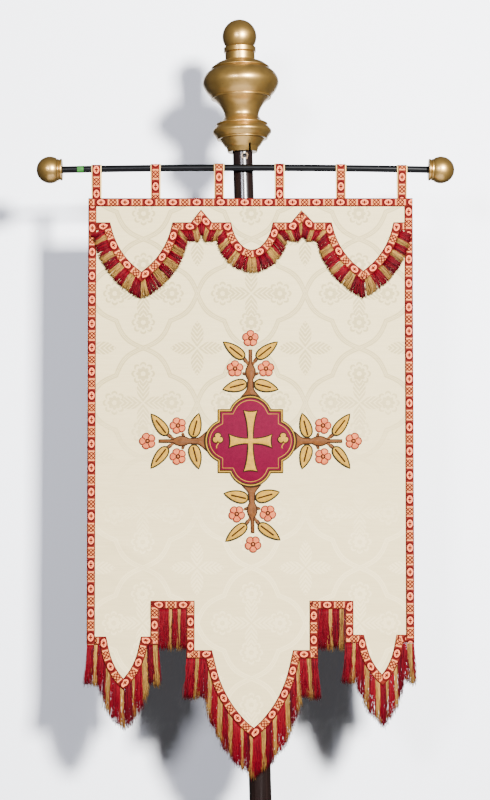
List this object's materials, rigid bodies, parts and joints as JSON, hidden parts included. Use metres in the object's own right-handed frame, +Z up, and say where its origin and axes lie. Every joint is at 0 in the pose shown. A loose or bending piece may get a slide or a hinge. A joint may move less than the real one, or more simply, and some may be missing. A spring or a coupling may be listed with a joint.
{
  "type": "church banner with crossbar and pole",
  "caption": "Cream damask church banner with a floral cross, patterned braid and bunched fringe, hung by loops from a crossbar on a tall pole with a turned gilded finial.",
  "frame": {"origin": "centre of the pole's square-cut foot", "axes": "+Z up, +X to the right as seen from the front, -Y the way the banner faces"},
  "size_m": [0.7982, 0.1456, 1.9998],
  "materials": {
    "damask": "cream damask, woven tone on tone",
    "braid": "narrow patterned braid in red, peach and cream",
    "fringe": "silk fringe in red and gold bunches",
    "gold_silk": "gold silk embroidery, outlined",
    "pink_silk": "pink silk embroidery, outlined",
    "crimson_silk": "crimson silk ground, gold border",
    "gilding": "turned wood, gilded and worn",
    "lacquer": "dark brown gloss lacquer",
    "black_paint": "black paint, worn"
  },
  "bodies": {
    "root": {"panel": "damask", "braid_top": "braid", "braid_left": "braid", "braid_right": "braid", "braid_hem": "braid", "braid_valance": "braid", "tab_1": "braid", "tab_2": "braid", "tab_3": "braid", "tab_4": "braid", "tab_5": "braid", "tab_6": "braid", "fringe_left_lappet": "fringe", "fringe_tongue": "fringe", "fringe_right_lappet": "fringe", "fringe_left_slot": "fringe", "fringe_right_slot": "fringe", "fringe_valance": "fringe", "medallion": "crimson_silk", "medallion_cross": "gold_silk", "trefoil_left": "gold_silk", "trefoil_right": "gold_silk", "sprig_top": "gold_silk", "sprig_left": "gold_silk", "sprig_bottom": "gold_silk", "sprig_right": "gold_silk", "flower_top_end": "pink_silk", "flower_top_left": "pink_silk", "flower_top_right": "pink_silk", "flower_left_end": "pink_silk", "flower_left_left": "pink_silk", "flower_left_right": "pink_silk", "flower_bottom_end": "pink_silk", "flower_bottom_left": "pink_silk", "flower_bottom_right": "pink_silk", "flower_right_end": "pink_silk", "flower_right_left": "pink_silk", "flower_right_right": "pink_silk", "crossbar": "black_paint", "ball_left": "gilding", "ball_right": "gilding", "pole": "lacquer", "finial": "gilding"}
  },
  "joints": []
}
